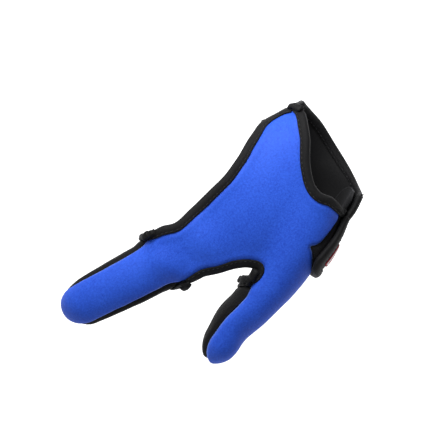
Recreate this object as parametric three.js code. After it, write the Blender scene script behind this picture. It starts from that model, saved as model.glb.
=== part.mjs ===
import * as THREE from 'three';

// A right-hand casting glove with a closed index stall and thumb stall, an open palm and a
// wrist strap, in the form it has when worn. Millimetres. +X runs up the forearm, +Y towards
// the little finger and +Z out of the back of the hand. The origin is the middle of the
// wrist opening.

// The hand form that the glove is worn on
const PALM_LENGTH = 98;
const PALM_WIDTH = 84;
const WRIST_WIDTH = 56.5;
const WRIST_DEPTH = 39;
const KNUCKLE_DEPTH = 27;
const INDEX_LENGTH = 77;
const INDEX_WIDTH = 28;
const INDEX_DEPTH = 24;
const INDEX_SIDE = 3;
const INDEX_LIFT = 2;
const INDEX_SWING = 12;
const INDEX_DROP = 10;
const THUMB_REACH = 127;
const THUMB_WIDTH = 23;
const THUMB_DEPTH = 24;
const THUMB_SPREAD = 52;
const THUMB_DROP = 14;
const TIP_ROUNDING = 10;
const KNUCKLE_ROUNDING = 10;
const ROOT_BLEND = 14;

// Cloth, tape and clearances
const NEOPRENE = 2.5;
const GRIP_FABRIC = 2;
const LOOP_FABRIC = 2.5;
const HOOK_FABRIC = 1.3;
const STRAP_FABRIC = 1.8;
const TAPE = 1.2;
const TAPE_WIDTH = 3.7;
const STRAP_EASE = 0.3;
const STRAP_FLAT = 31;
const STRAP_RAMP = 24;
const STRAP_BARE = 12;
const WING_BARE = 10;
const PATCH_BARE = 15;
const HOOK_LENGTH = 20;
const HOOK_WIDTH = 24;
const HOOK_PLACE = 0.44;
const HOOK_MARGIN = 5.5;
const LABEL_WIDTH = 13;
const LABEL_LENGTH = 18;
const LABEL_THICKNESS = 0.8;
const LABEL_MARGIN = 4.6;
const LABEL_PLACE = 0.6;
const CLEARANCE = 0.4;
const FOLD_GAP = 0.8;
const SEAM_GAP = 0.4;

// Facets
const CELL = 4.2;
const TAPE_STEP = 3.2;
const EDGE_STEP = CELL / 4;
const SNAP = 0.3 * CELL;
const NEAR_CELLS = 1.6;

// Sections of the hand form. "at" runs along the limb. Palm rows blend from the wrist to the
// palm width (widen) and from the wrist to the knuckle depth (thin); side is a share of the
// palm width and lift of the wrist depth.
const PALM_SECTIONS = [
  { at: -0.3, side: 0.01, widen: -0.04, thin: -0.08, lift: 0 },
  { at: -0.12, side: 0.01, widen: -0.04, thin: -0.04, lift: 0 },
  { at: 0, side: 0.03, widen: 0, thin: 0, lift: 0 },
  { at: 0.12, side: 0.02, widen: 0.12, thin: 0.08, lift: 0 },
  { at: 0.31, side: 0.02, widen: 0.6, thin: 0.33, lift: 0.01 },
  { at: 0.51, side: 0.1, widen: 1, thin: 0.5, lift: 0.03 },
  { at: 0.71, side: 0.17, widen: 1, thin: 0.67, lift: 0.04 },
  { at: 0.89, side: 0.2, widen: 0.68, thin: 0.83, lift: 0.04 },
  { at: 1, side: 0.23, widen: 0.44, thin: 1, lift: 0.04 },
];

// Finger rows hold shares of the finger's own width, depth, swing and drop.
const INDEX_SECTIONS = [
  { at: -0.12, side: -0.12, width: 0.93, depth: 1, drop: 0 },
  { at: 0.08, side: 0.08, width: 1, depth: 1, drop: 0.05 },
  { at: 0.24, side: 0.24, width: 0.98, depth: 0.98, drop: 0.15 },
  { at: 0.42, side: 0.42, width: 0.96, depth: 0.93, drop: 0.3 },
  { at: 0.59, side: 0.6, width: 0.92, depth: 0.88, drop: 0.52 },
  { at: 0.75, side: 0.77, width: 0.86, depth: 0.83, drop: 0.78 },
  { at: 0.85, side: 0.84, width: 0.78, depth: 0.77, drop: 0.98 },
];
const THUMB_SECTIONS = [
  { at: 0.12, side: 0.36, width: 0.95, depth: 1.08, drop: 0.07 },
  { at: 0.26, side: 0.55, width: 1.25, depth: 1.25, drop: 0.18 },
  { at: 0.4, side: 0.69, width: 1.15, depth: 1.21, drop: 0.21 },
  { at: 0.54, side: 0.8, width: 1, depth: 1.02, drop: 0.29 },
  { at: 0.68, side: 0.87, width: 0.91, depth: 0.9, drop: 0.46 },
  { at: 0.8, side: 0.91, width: 0.9, depth: 0.89, drop: 0.68 },
  { at: 0.9, side: 0.98, width: 0.72, depth: 0.75, drop: 0.9 },
];

// Edges and seams as points on the hand form: the limb, how far along it, and the turn in
// degrees round its middle line, from the little-finger side (0) over the back (90) to the
// thumb side (180) and the palm (270). A reach under 1 draws a point in towards the middle
// line, for a seam that crosses a fingertip.
const OUTER_EDGE = [
  ['palm', -0.01, 28], ['palm', 0.05, 15], ['palm', 0.12, 12], ['palm', 0.2, 20],
  ['palm', 0.27, 34], ['palm', 0.35, 48], ['palm', 0.43, 61], ['palm', 0.54, 73],
  ['palm', 0.67, 81], ['palm', 0.82, 87], ['palm', 0.95, 92], ['index', 0.03, 38, 1.5],
  ['index', 0.075, 25, 1.2],
];
const INDEX_MOUTH = [
  ['index', 0.075, 25, 1.2], ['index', 0.12, 0], ['index', 0.16, -30], ['index', 0.19, -60],
  ['index', 0.21, -90], ['index', 0.22, -125], ['index', 0.21, -160], ['index', 0.16, 172],
  ['index', 0.09, 155],
];
const WEB_EDGE = [
  ['index', 0.09, 155], ['palm', 0.99, 150], ['palm', 0.9, 152], ['palm', 0.81, 155],
  ['palm', 0.752, 160], ['thumb', 0.555, 45, 1.4], ['thumb', 0.579, 45, 1.15],
  ['thumb', 0.61, 42],
];
const THUMB_MOUTH = [
  ['thumb', 0.61, 42], ['thumb', 0.635, 17], ['thumb', 0.65, -15], ['thumb', 0.655, -45],
  ['thumb', 0.655, -80], ['thumb', 0.635, -112], ['thumb', 0.58, -135], ['thumb', 0.52, -145],
];
const WING_SIDE = [
  ['thumb', 0.52, -145], ['thumb', 0.45, -148], ['thumb', 0.365, -148],
];
const INDEX_SEAM = [
  ['index', 0.075, 25, 1.2], ['index', 0.2, 28], ['index', 0.42, 30], ['index', 0.6, 28],
  ['index', 0.75, 20], ['index', 0.88, 2], ['index', 1, -80, 0.6], ['index', 0.97, 175, 0.8],
  ['index', 0.88, 162], ['index', 0.75, 154], ['index', 0.6, 152], ['index', 0.42, 150],
  ['index', 0.25, 150], ['index', 0.09, 155],
];
const THUMB_SEAM = [
  ['thumb', 0.61, 42], ['thumb', 0.66, 58], ['thumb', 0.73, 62], ['thumb', 0.8, 62],
  ['thumb', 0.87, 58], ['thumb', 0.94, 52], ['thumb', 1, 75, 0.5], ['thumb', 1, -135, 0.6],
  ['thumb', 0.92, -128], ['thumb', 0.84, -130], ['thumb', 0.74, -136], ['thumb', 0.62, -140],
  ['thumb', 0.52, -145],
];
const WING_EDGE = [
  ['thumb', 0.365, -148], ['thumb', 0.371, 180], ['thumb', 0.347, 148], ['thumb', 0.325, 128],
  ['thumb', 0.312, 114], ['thumb', 0.295, 122], ['thumb', 0.27, 130], ['thumb', 0.23, 138],
  ['thumb', 0.18, 151], ['thumb', 0.12, 156],
];
const PATCH_WRIST = [
  ['palm', 0.02, 180], ['palm', 0.07, 172], ['thumb', 0.12, 156],
];
const PATCH_EDGE = [
  ['thumb', 0.365, -148], ['thumb', 0.33, -125], ['thumb', 0.22, -120], ['palm', 0.1, -145],
  ['palm', 0.02, -155], ['palm', 0.02, 180],
];
const WRIST_EDGE = [
  ['thumb', 0.12, 156], ['palm', 0.155, 140], ['palm', 0.185, 127], ['palm', 0.187, 115],
  ['palm', 0.165, 103], ['palm', 0.13, 92], ['palm', 0.09, 82], ['palm', 0.045, 71],
  ['palm', 0.01, 58], ['palm', -0.015, 45], ['palm', -0.02, 36], ['palm', -0.01, 28],
];
const STRAP_NEAR_WRIST = [
  ['palm', -0.075, 20], ['palm', -0.06, 0], ['palm', -0.06, -30], ['palm', -0.07, -65],
  ['palm', -0.06, -100], ['palm', -0.04, -135], ['palm', 0.01, -165], ['palm', 0.04, 180],
];
const STRAP_END = [
  ['palm', 0.04, 180], ['thumb', 0.12, 170], ['thumb', 0.2, 155], ['thumb', 0.28, 142],
  ['thumb', 0.33, 140], ['thumb', 0.362, 150], ['thumb', 0.38, -170],
];
const STRAP_NEAR_THUMB = [
  ['thumb', 0.38, -170], ['thumb', 0.385, -145], ['thumb', 0.375, -115], ['palm', 0.41, -95],
  ['palm', 0.35, -68], ['palm', 0.28, -42], ['palm', 0.22, -22],
];
const STRAP_SEWN = [
  ['palm', 0.22, -22], ['palm', 0.17, -2], ['palm', 0.11, 3], ['palm', 0.04, 6],
  ['palm', -0.02, 12], ['palm', -0.075, 20],
];

function material(name, color, roughness) {
  return new THREE.MeshStandardMaterial({ name, color, roughness, metalness: 0 });
}
const MATERIALS = {
  neoprene: material('blue_neoprene', 0x2f62cf, 0.7),
  grip: material('black_grip', 0x1b1b1d, 0.85),
  binding: material('black_binding', 0x242427, 0.8),
  strap: material('black_strap', 0x202023, 0.8),
  loop: material('loop_fabric', 0x161618, 0.95),
  hook: material('hook_fabric', 0x101011, 0.6),
  label: material('label_cloth', 0xb5333c, 0.6),
};

const palmHalfWidth = (row) => (WRIST_WIDTH + (PALM_WIDTH - WRIST_WIDTH) * row.widen) / 2;
const palmHalfDepth = (row) => (WRIST_DEPTH + (KNUCKLE_DEPTH - WRIST_DEPTH) * row.thin) / 2;

// Each limb: its rows, its sections at real size, and the rounding past its ends. The slopes
// of a finger's last row run on past it.
const LIMBS = {
  palm: {
    rows: PALM_SECTIONS,
    start: 0,
    length: PALM_LENGTH,
    rounding: KNUCKLE_ROUNDING,
    runsOn: false,
    y: (row) => row.side * PALM_WIDTH,
    z: (row) => row.lift * WRIST_DEPTH,
    halfWidth: palmHalfWidth,
    halfDepth: palmHalfDepth,
  },
  index: {
    rows: INDEX_SECTIONS,
    start: PALM_LENGTH,
    length: INDEX_LENGTH,
    rounding: TIP_ROUNDING,
    runsOn: true,
    y: (row) => INDEX_SIDE + row.side * INDEX_SWING,
    z: (row) => INDEX_LIFT - row.drop * INDEX_DROP,
    halfWidth: (row) => row.width * INDEX_WIDTH / 2,
    halfDepth: (row) => row.depth * INDEX_DEPTH / 2,
  },
  thumb: {
    rows: THUMB_SECTIONS,
    start: 0,
    length: THUMB_REACH,
    rounding: TIP_ROUNDING,
    runsOn: true,
    y: (row) => -row.side * THUMB_SPREAD,
    z: (row) => -row.drop * THUMB_DROP,
    halfWidth: (row) => row.width * THUMB_WIDTH / 2,
    halfDepth: (row) => row.depth * THUMB_DEPTH / 2,
  },
};

// A smooth curve of values through the rows of a table, read at one place along it. It is
// straight past the last row.
function smoothRow(rows, at) {
  let low = 0;
  while (low < rows.length - 2 && rows[low + 1].at < at) low += 1;
  const [a, b] = [rows[low], rows[low + 1]];
  const before = rows[Math.max(low - 1, 0)];
  const after = rows[Math.min(low + 2, rows.length - 1)];
  const span = b.at - a.at;
  const t = THREE.MathUtils.clamp((at - a.at) / span, 0, 1);
  const past = Math.max((at - b.at) / span, 0);
  const result = {};
  for (const key of Object.keys(a)) {
    const slopeA = (b[key] - before[key]) / (b.at - before.at) * span;
    const slopeB = (after[key] - a[key]) / (after.at - a.at) * span;
    const rise = b[key] - a[key];
    const bend = slopeA + slopeB - 2 * rise;
    const lean = 3 * rise - 2 * slopeA - slopeB;
    result[key] = a[key] + t * (slopeA + t * (lean + t * bend)) + past * slopeB;
  }
  return result;
}

function sectionOf(limb, along) {
  const { rows } = limb;
  const end = rows[rows.length - 1].at;
  const furthest = limb.runsOn ? end + limb.rounding / limb.length : end;
  const at = THREE.MathUtils.clamp(along, rows[0].at, end);
  const row = smoothRow(rows, THREE.MathUtils.clamp(along, rows[0].at, furthest));
  return {
    x: -(limb.start + at * limb.length),
    y: limb.y(row),
    z: limb.z(row),
    halfWidth: limb.halfWidth(row),
    halfDepth: limb.halfDepth(row),
  };
}

// Distance from a point to one limb: an ellipse at each section, with rounded ends.
function limbDistance(limb, p) {
  const s = sectionOf(limb, (-p.x - limb.start) / limb.length);
  const [dx, dy, dz] = [p.x - s.x, p.y - s.y, p.z - s.z];
  const [ex, ey, ez] = [dx / limb.rounding, dy / s.halfWidth, dz / s.halfDepth];
  const size = Math.hypot(ex, ey, ez);
  const slope = Math.hypot(ex / limb.rounding, ey / s.halfWidth, ez / s.halfDepth);
  return slope > 0 ? size * (size - 1) / slope : -s.halfDepth;
}

function blend(a, b) {
  const overlap = Math.max(ROOT_BLEND - Math.abs(a - b), 0) / ROOT_BLEND;
  return Math.min(a, b) - overlap * overlap * ROOT_BLEND / 4;
}

function formDistance(p) {
  const fingers = blend(limbDistance(LIMBS.palm, p), limbDistance(LIMBS.index, p));
  return blend(fingers, limbDistance(LIMBS.thumb, p));
}

function formGradient(p) {
  const step = 0.05;
  const change = (axis) => {
    const ahead = p.clone();
    const behind = p.clone();
    ahead[axis] += step;
    behind[axis] -= step;
    return (formDistance(ahead) - formDistance(behind)) / (2 * step);
  };
  return new THREE.Vector3(change('x'), change('y'), change('z'));
}

const skinNormal = (p) => formGradient(p).normalize();

// Moves a point to the surface of the hand form.
function settle(p, rounds = 4) {
  const settled = p.clone();
  for (let round = 0; round < rounds; round += 1) {
    const gradient = formGradient(settled);
    settled.addScaledVector(gradient, -formDistance(settled) / gradient.lengthSq());
  }
  return settled;
}

const raise = (p, level) => p.clone().addScaledVector(skinNormal(p), level);

function pointOnForm([name, along, turn, reach = 1]) {
  const limb = LIMBS[name];
  const s = sectionOf(limb, along);
  const angle = THREE.MathUtils.degToRad(turn);
  const x = -(limb.start + along * limb.length);
  const y = s.y + reach * s.halfWidth * Math.cos(angle);
  const z = s.z + reach * s.halfDepth * Math.sin(angle);
  return settle(new THREE.Vector3(x, y, z));
}

// A fine line on the hand form through the points of one table.
function lineOnForm(table) {
  const curve = new THREE.CatmullRomCurve3(table.map(pointOnForm));
  const steps = Math.ceil(curve.getLength() / EDGE_STEP);
  return curve.getSpacedPoints(steps).map((p) => settle(p));
}

// Joins lines end to end, dropping the point that two of them share.
function joinLines(...lines) {
  return lines.flatMap((line, i) => (i === 0 ? line : line.slice(1)));
}

const backwards = (line) => [...line].reverse();

// The signed distance from a point to a closed line on the form, positive on its left. At a
// bend of the line both of its legs decide the side.
function insideLine(loop, p) {
  const { count, legs } = loop;
  let best = Infinity;
  let nearest = null;
  let ahead = null;
  for (let i = 0; i < count; i += 1) {
    const { start, along, length } = legs[i];
    const t = THREE.MathUtils.clamp(p.clone().sub(start).dot(along), 0, length);
    const foot = start.clone().addScaledVector(along, t);
    const distance = foot.distanceTo(p);
    if (distance >= best) continue;
    best = distance;
    nearest = foot;
    ahead = along.clone();
    if (t === 0) ahead.add(legs[(i + count - 1) % count].along);
    if (t === length) ahead.add(legs[(i + 1) % count].along);
  }
  const left = skinNormal(nearest).cross(ahead);
  return { distance: left.dot(p.clone().sub(nearest)) < 0 ? -best : best, nearest };
}

// A closed line as straight legs, each with its start, direction and length.
function closedLine(...lines) {
  const points = joinLines(...lines).slice(0, -1);
  const legs = points.map((start, i) => {
    const along = points[(i + 1) % points.length].clone().sub(start);
    const length = along.length();
    return { start, along: along.divideScalar(length), length };
  });
  return { count: legs.length, legs };
}

function distanceToLine(line, p) {
  return Math.min(...line.map((q) => q.distanceTo(p)));
}

// The whole hand form as one closed net of even facets.
function formNet() {
  const low = [-(PALM_LENGTH + INDEX_LENGTH) - 3 * CELL, -THUMB_SPREAD - THUMB_WIDTH, -WRIST_DEPTH];
  const high = [PALM_LENGTH / 2, PALM_WIDTH, WRIST_DEPTH];
  const count = low.map((value, axis) => Math.ceil((high[axis] - value) / CELL));
  const corner = (i, j, k) => new THREE.Vector3(low[0] + i * CELL, low[1] + j * CELL, low[2] + k * CELL);
  const place = (i, j, k) => (i * (count[1] + 1) + j) * (count[2] + 1) + k;
  const values = [];
  for (let i = 0; i <= count[0]; i += 1) {
    for (let j = 0; j <= count[1]; j += 1) {
      for (let k = 0; k <= count[2]; k += 1) values.push(formDistance(corner(i, j, k)));
    }
  }
  const points = [];
  const cellPoint = new Map();
  const addCell = (i, j, k) => {
    const sum = new THREE.Vector3();
    let crossings = 0;
    for (let from = 0; from < 8; from += 1) {
      for (const bit of [1, 2, 4]) {
        if (from & bit) continue;
        const [a, b] = [from, from | bit].map((c) => [i + (c & 1), j + (c >> 1 & 1), k + (c >> 2)]);
        const [va, vb] = [values[place(...a)], values[place(...b)]];
        if ((va < 0) === (vb < 0)) continue;
        sum.add(corner(...a).lerp(corner(...b), va / (va - vb)));
        crossings += 1;
      }
    }
    if (crossings === 0) return;
    cellPoint.set(place(i, j, k), points.length);
    points.push(settle(sum.divideScalar(crossings)));
  };
  for (let i = 0; i < count[0]; i += 1) {
    for (let j = 0; j < count[1]; j += 1) {
      for (let k = 0; k < count[2]; k += 1) addCell(i, j, k);
    }
  }
  const quads = [];
  const addQuad = (at, axis) => {
    const next = [...at];
    next[axis] += 1;
    const [va, vb] = [values[place(...at)], values[place(...next)]];
    if ((va < 0) === (vb < 0)) return;
    const [u, v] = [(axis + 1) % 3, (axis + 2) % 3];
    const ring = [[0, 0], [-1, 0], [-1, -1], [0, -1]].map(([du, dv]) => {
      const cell = [...at];
      cell[u] += du;
      cell[v] += dv;
      return cellPoint.get(place(...cell));
    });
    quads.push(va < 0 ? ring : ring.reverse());
  };
  for (let i = 1; i < count[0]; i += 1) {
    for (let j = 1; j < count[1]; j += 1) {
      for (let k = 1; k < count[2]; k += 1) {
        for (const axis of [0, 1, 2]) addQuad([i, j, k], axis);
      }
    }
  }
  const neighbours = neighboursIn(points, quads);
  relax(points, neighbours);
  return { points, neighbours, faces: splitQuads(points, quads) };
}

function neighboursIn(points, quads) {
  const neighbours = points.map(() => new Set());
  for (const quad of quads) {
    quad.forEach((a, i) => {
      const b = quad[(i + 1) % 4];
      neighbours[a].add(b);
      neighbours[b].add(a);
    });
  }
  return neighbours;
}

// Evens out a net, keeping its points on the form.
function relax(points, neighbours) {
  const rounds = 6;
  for (let round = 0; round < rounds; round += 1) {
    const moved = points.map((p, i) => {
      const middle = new THREE.Vector3();
      for (const n of neighbours[i]) middle.add(points[n]);
      return settle(middle.divideScalar(neighbours[i].size).lerp(p, 0.5), 2);
    });
    moved.forEach((p, i) => points[i].copy(p));
  }
}

function splitQuads(points, quads) {
  return quads.flatMap(([a, b, c, d]) => {
    const short = points[a].distanceTo(points[c]) <= points[b].distanceTo(points[d]);
    return short ? [[a, b, c], [a, c, d]] : [[a, b, d], [b, c, d]];
  });
}

// How deep each point of a net lies inside a closed line. Close to the line its side tells;
// further off the region is filled outwards from the points that lie just inside.
function depthsInside(net, loop) {
  const near = NEAR_CELLS * CELL;
  const feet = net.points.map((p) => insideLine(loop, p));
  const sealed = feet.map(({ distance }) => distance < 0 && -distance < near);
  const inside = feet.map(({ distance }) => distance >= 0 && distance < near);
  const front = inside.flatMap((isIn, i) => (isIn ? [i] : []));
  while (front.length > 0) {
    for (const n of net.neighbours[front.pop()]) {
      if (inside[n] || sealed[n]) continue;
      inside[n] = true;
      front.push(n);
    }
  }
  return feet.map(({ distance, nearest }, i) => {
    const size = Math.abs(distance);
    return { distance: inside[i] ? size : -size, nearest };
  });
}

// The part of a net that lies inside a closed line, cut cleanly along it.
function cutSheet(net, loop, inset) {
  const points = net.points.map((p) => p.clone());
  const depth = depthsInside(net, loop).map(({ distance, nearest }, i) => {
    const value = distance - inset;
    if (Math.abs(value) > SNAP) return value;
    const inward = points[i].clone().sub(nearest);
    const reach = Math.max(inward.length(), 1e-6) * Math.sign(distance || 1);
    points[i].addScaledVector(inward, -value / reach);
    points[i].copy(settle(points[i]));
    return 0;
  });
  const cuts = new Map();
  const cutPoint = (a, b) => {
    const key = a < b ? `${a}_${b}` : `${b}_${a}`;
    if (!cuts.has(key)) {
      cuts.set(key, points.length);
      points.push(settle(points[a].clone().lerp(points[b], depth[a] / (depth[a] - depth[b]))));
    }
    return cuts.get(key);
  };
  const faces = [];
  for (const face of net.faces) {
    if (Math.max(...face.map((v) => depth[v])) <= 0) continue;
    const kept = face.flatMap((a, i) => {
      const b = face[(i + 1) % 3];
      const crosses = depth[a] * depth[b] < 0;
      const own = depth[a] >= 0 ? [a] : [];
      return crosses ? [...own, cutPoint(a, b)] : own;
    });
    for (let i = 2; i < kept.length; i += 1) faces.push([kept[0], kept[i - 1], kept[i]]);
  }
  return compact(points, faces);
}

function compact(points, faces) {
  const used = [...new Set(faces.flat())];
  const index = new Map(used.map((old, i) => [old, i]));
  return { points: used.map((i) => points[i]), faces: faces.map((face) => face.map((v) => index.get(v))) };
}

// Gives a sheet its thickness, from one level above the form to another.
function thicken(sheet, low, high) {
  const count = sheet.points.length;
  const inner = sheet.points.map((p) => raise(p, low(p)));
  const outer = sheet.points.map((p) => raise(p, high(p)));
  const faces = sheet.faces.flatMap(([a, b, c]) => [
    [a + count, b + count, c + count],
    [c, b, a],
  ]);
  const edges = new Set(sheet.faces.flatMap(([a, b, c]) => [`${a}_${b}`, `${b}_${c}`, `${c}_${a}`]));
  for (const edge of edges) {
    const [a, b] = edge.split('_').map(Number);
    if (edges.has(`${b}_${a}`)) continue;
    faces.push([a, b, b + count], [a, b + count, a + count]);
  }
  return solid([...inner, ...outer], faces);
}

// A folded tape that wraps the edge of a cloth of the given thickness, along an open line.
function foldTape(line, low, thickness) {
  const sections = Math.max(2, Math.round(lineLength(line) / TAPE_STEP)) + 1;
  const points = [];
  for (let n = 0; n < sections; n += 1) {
    const i = Math.round(n * (line.length - 1) / (sections - 1));
    const ahead = line[Math.min(i + 2, line.length - 1)];
    const behind = line[Math.max(i - 2, 0)];
    const inward = skinNormal(line[i]).cross(ahead.clone().sub(behind)).normalize();
    const across = (s) => settle(line[i].clone().addScaledVector(inward, s), 2);
    const over = (p, level) => raise(p, low(p) + thickness + level);
    const under = (p, level) => raise(p, low(p) - level);
    const [tip, gap, fold] = [TAPE_WIDTH, -FOLD_GAP, -FOLD_GAP - TAPE].map(across);
    points.push(
      over(tip, CLEARANCE + TAPE),
      over(fold, CLEARANCE + TAPE),
      under(fold, CLEARANCE + TAPE),
      under(tip, CLEARANCE + TAPE),
      under(tip, CLEARANCE),
      under(gap, CLEARANCE),
      over(gap, CLEARANCE),
      over(tip, CLEARANCE),
    );
  }
  return solid(points, ringFaces(sections, 8, [[0, 1, 7], [1, 6, 7], [1, 2, 6], [2, 5, 6], [2, 3, 5], [3, 4, 5]]));
}

// Faces of a tube of equal rings, with its two end caps.
function ringFaces(rings, sides, cap) {
  const faces = [];
  for (let ring = 0; ring < rings - 1; ring += 1) {
    for (let side = 0; side < sides; side += 1) {
      const next = (side + 1) % sides;
      const [a, b] = [ring * sides + side, ring * sides + next];
      const [c, d] = [a + sides, b + sides];
      faces.push([a, d, c], [a, b, d]);
    }
  }
  const last = (rings - 1) * sides;
  for (const [a, b, c] of cap) faces.push([a, c, b], [last + a, last + b, last + c]);
  return faces;
}

function lineLength(line) {
  return line.slice(1).reduce((sum, p, i) => sum + p.distanceTo(line[i]), 0);
}

// A line with a length taken off its start and its end.
function trim(line, start, end) {
  const total = lineLength(line);
  let travelled = 0;
  return line.filter((p, i) => {
    if (i > 0) travelled += p.distanceTo(line[i - 1]);
    return travelled >= start && travelled <= total - end;
  });
}

function solid(points, faces) {
  const geometry = new THREE.BufferGeometry();
  geometry.setAttribute('position', new THREE.Float32BufferAttribute(points.flatMap((p) => p.toArray()), 3));
  geometry.setIndex(faces.flat());
  geometry.computeVertexNormals();
  return geometry;
}

const lines = {
  outer: lineOnForm(OUTER_EDGE),
  indexMouth: lineOnForm(INDEX_MOUTH),
  web: lineOnForm(WEB_EDGE),
  thumbMouth: lineOnForm(THUMB_MOUTH),
  wingSide: lineOnForm(WING_SIDE),
  indexSeam: lineOnForm(INDEX_SEAM),
  thumbSeam: lineOnForm(THUMB_SEAM),
  wing: lineOnForm(WING_EDGE),
  patchWrist: lineOnForm(PATCH_WRIST),
  patch: lineOnForm(PATCH_EDGE),
  wrist: lineOnForm(WRIST_EDGE),
  strapWrist: lineOnForm(STRAP_NEAR_WRIST),
  strapEnd: lineOnForm(STRAP_END),
  strapThumb: lineOnForm(STRAP_NEAR_THUMB),
  strapSewn: lineOnForm(STRAP_SEWN),
};

const net = formNet();
const onSkin = () => 0;

function panel(loop, thickness) {
  return thicken(cutSheet(net, loop, SEAM_GAP / 2), onSkin, () => thickness);
}

function backPanel() {
  const loop = closedLine(
    lines.outer, lines.indexSeam, lines.web, lines.thumbSeam, lines.wingSide, lines.wing, lines.wrist,
  );
  return panel(loop, NEOPRENE);
}

const indexPalmPanel = () => panel(closedLine(lines.indexMouth, backwards(lines.indexSeam)), GRIP_FABRIC);
const thumbPalmPanel = () => panel(closedLine(lines.thumbMouth, backwards(lines.thumbSeam)), GRIP_FABRIC);

function loopPatch() {
  return panel(closedLine(backwards(lines.wing), lines.patch, lines.patchWrist), LOOP_FABRIC);
}

// The strap lies on the skin round the palm side and lifts over the loop patch at its end.
const STRAP_LIFT = LOOP_FABRIC + HOOK_FABRIC + 2 * CLEARANCE;
function strapLevel(p) {
  const past = (distanceToLine(lines.strapEnd, p) - STRAP_FLAT) / STRAP_RAMP;
  return THREE.MathUtils.lerp(STRAP_LIFT, STRAP_EASE, THREE.MathUtils.smoothstep(past, 0, 1));
}

function wristStrap() {
  const loop = closedLine(lines.strapWrist, lines.strapEnd, lines.strapThumb, lines.strapSewn);
  return thicken(cutSheet(net, loop, SEAM_GAP / 2), strapLevel, (p) => strapLevel(p) + STRAP_FABRIC);
}

function strapBinding() {
  const edge = joinLines(lines.strapWrist, lines.strapEnd, lines.strapThumb);
  return foldTape(trim(edge, STRAP_BARE, TAPE), strapLevel, STRAP_FABRIC);
}

// A rectangle of cloth on the form, squared to a line: its middle lies at a share of the
// line, and it starts a margin in from it.
function rectangle(line, middle, width, margin, length) {
  const columns = Math.ceil(width / CELL);
  const rows = Math.ceil(length / CELL);
  const start = middle * lineLength(line) - width / 2;
  const centre = Math.round(middle * (line.length - 1));
  const heading = skinNormal(line[centre]).cross(line[centre + 1].clone().sub(line[centre - 1]));
  const points = [];
  for (let i = 0; i <= columns; i += 1) {
    const at = Math.round((start + width * i / columns) / lineLength(line) * (line.length - 1));
    const p = line[at].clone();
    const inward = heading.clone();
    for (let j = 0; j <= rows; j += 1) {
      const step = j === 0 ? margin : length / rows;
      inward.projectOnPlane(skinNormal(p)).normalize();
      p.copy(settle(p.addScaledVector(inward, step)));
      points.push(p.clone());
    }
  }
  const faces = [];
  for (let i = 0; i < columns; i += 1) {
    for (let j = 0; j < rows; j += 1) {
      const a = i * (rows + 1) + j;
      const b = a + rows + 1;
      faces.push([a, b, b + 1], [a, b + 1, a + 1]);
    }
  }
  return { points, faces };
}

function hookPatch() {
  const sheet = rectangle(lines.strapEnd, HOOK_PLACE, HOOK_WIDTH, HOOK_MARGIN, HOOK_LENGTH);
  const low = LOOP_FABRIC + CLEARANCE;
  return thicken(sheet, () => low, () => low + HOOK_FABRIC);
}

function label() {
  const sheet = rectangle(lines.strapEnd, LABEL_PLACE, LABEL_WIDTH, LABEL_MARGIN, LABEL_LENGTH);
  const low = (p) => strapLevel(p) + STRAP_FABRIC + CLEARANCE;
  return thicken(sheet, low, (p) => low(p) + LABEL_THICKNESS);
}

const tapes = {
  outer_binding: trim(lines.outer, TAPE_WIDTH + TAPE + 2 * CLEARANCE, CLEARANCE),
  index_mouth_binding: trim(lines.indexMouth, CLEARANCE, CLEARANCE),
  web_binding: trim(lines.web, CLEARANCE, CLEARANCE),
  thumb_mouth_binding: trim(joinLines(lines.thumbMouth, lines.wingSide), CLEARANCE, WING_BARE),
  wrist_binding: trim(joinLines(lines.patchWrist, lines.wrist), PATCH_BARE, CLEARANCE),
};

const glove = new THREE.Group();
function add(name, geometry, look) {
  const mesh = new THREE.Mesh(geometry, look);
  mesh.name = name;
  glove.add(mesh);
}

add('back_panel', backPanel(), MATERIALS.neoprene);
add('index_palm_panel', indexPalmPanel(), MATERIALS.grip);
add('thumb_palm_panel', thumbPalmPanel(), MATERIALS.grip);
add('loop_patch', loopPatch(), MATERIALS.loop);
add('wrist_strap', wristStrap(), MATERIALS.strap);
add('strap_binding', strapBinding(), MATERIALS.binding);
add('hook_patch', hookPatch(), MATERIALS.hook);
add('label', label(), MATERIALS.label);
for (const [name, line] of Object.entries(tapes)) {
  add(name, foldTape(line, onSkin, NEOPRENE), MATERIALS.binding);
}

export default glove;
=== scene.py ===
import math

import bpy
import numpy as np
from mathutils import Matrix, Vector
from mathutils.kdtree import KDTree

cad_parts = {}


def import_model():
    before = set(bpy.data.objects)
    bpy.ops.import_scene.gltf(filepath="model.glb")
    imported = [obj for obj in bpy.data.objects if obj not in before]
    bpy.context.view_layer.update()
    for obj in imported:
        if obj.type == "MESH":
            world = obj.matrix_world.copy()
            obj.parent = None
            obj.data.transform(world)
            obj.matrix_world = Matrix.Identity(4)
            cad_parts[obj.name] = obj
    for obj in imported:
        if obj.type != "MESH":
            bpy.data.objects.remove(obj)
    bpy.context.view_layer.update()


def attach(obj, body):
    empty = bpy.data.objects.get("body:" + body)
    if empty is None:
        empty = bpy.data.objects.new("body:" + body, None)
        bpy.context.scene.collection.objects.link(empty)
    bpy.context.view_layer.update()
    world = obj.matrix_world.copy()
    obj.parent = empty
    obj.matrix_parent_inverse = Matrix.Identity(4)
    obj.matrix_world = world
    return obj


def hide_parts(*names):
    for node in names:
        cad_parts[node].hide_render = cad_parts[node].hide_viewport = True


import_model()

# The form of the hand that the glove is worn on, in millimetres. +X runs up the forearm, +Y
# towards the little finger and +Z out of the back of the hand.
PALM_LENGTH = 98
PALM_WIDTH = 84
WRIST_WIDTH = 56.5
WRIST_DEPTH = 39
KNUCKLE_DEPTH = 27
INDEX_LENGTH = 77
INDEX_WIDTH = 28
INDEX_DEPTH = 24
INDEX_SIDE = 3
INDEX_LIFT = 2
INDEX_SWING = 12
INDEX_DROP = 10
THUMB_REACH = 127
THUMB_WIDTH = 23
THUMB_DEPTH = 24
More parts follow.
